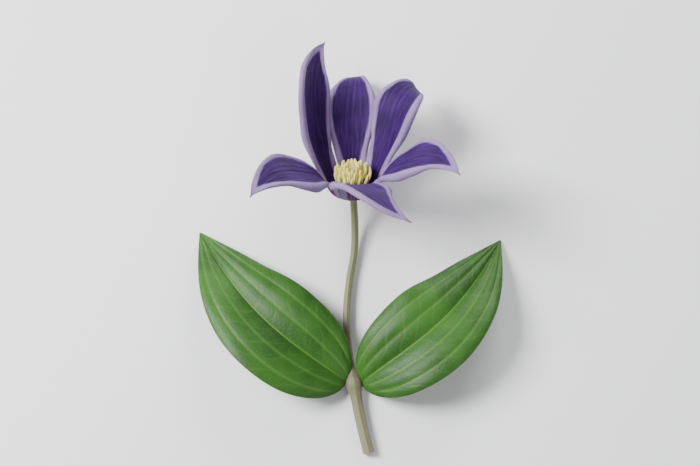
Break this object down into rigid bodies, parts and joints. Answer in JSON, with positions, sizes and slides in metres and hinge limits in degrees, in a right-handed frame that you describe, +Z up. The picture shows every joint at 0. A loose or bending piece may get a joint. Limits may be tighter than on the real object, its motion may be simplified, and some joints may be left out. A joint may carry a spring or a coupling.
{
  "type": "clematis flower",
  "caption": "Open clematis flower with long pointed violet sepals, rolled pale margins and a yellow boss, on a curved cut stem with opposite leaves, lying on a surface.",
  "frame": {"origin": "on the surface the flower lies on, under the middle of its box", "axes": "+X runs along the stem from the cut end to the flower, +Y to the left of that, +Z up from the surface"},
  "size_m": [0.118, 0.0903, 0.045],
  "materials": {
    "stem": "matte",
    "leaf": "satin",
    "sepal": "matte",
    "stamen": "matte",
    "pistil": "matte"
  },
  "bodies": {
    "root": {"stem": "stem", "leaf_left": "leaf", "leaf_right": "leaf", "sepal_1": "sepal", "sepal_2": "sepal", "sepal_3": "sepal", "sepal_4": "sepal", "sepal_5": "sepal", "sepal_6": "sepal", "stamen_01": "stamen", "stamen_02": "stamen", "stamen_03": "stamen", "stamen_04": "stamen", "stamen_05": "stamen", "stamen_06": "stamen", "stamen_07": "stamen", "stamen_08": "stamen", "stamen_09": "stamen", "stamen_10": "stamen", "stamen_11": "stamen", "stamen_12": "stamen", "stamen_13": "stamen", "stamen_14": "stamen", "stamen_15": "stamen", "stamen_16": "stamen", "stamen_17": "stamen", "stamen_18": "stamen", "stamen_19": "stamen", "stamen_20": "stamen", "stamen_21": "stamen", "stamen_22": "stamen", "stamen_23": "stamen", "stamen_24": "stamen", "stamen_25": "stamen", "stamen_26": "stamen", "stamen_27": "stamen", "stamen_28": "stamen", "stamen_29": "stamen", "stamen_30": "stamen", "stamen_31": "stamen", "stamen_32": "stamen", "stamen_33": "stamen", "stamen_34": "stamen", "stamen_35": "stamen", "stamen_36": "stamen", "pistil_1": "pistil", "pistil_2": "pistil", "pistil_3": "pistil", "pistil_4": "pistil", "pistil_5": "pistil", "pistil_6": "pistil", "pistil_7": "pistil"}
  },
  "joints": []
}
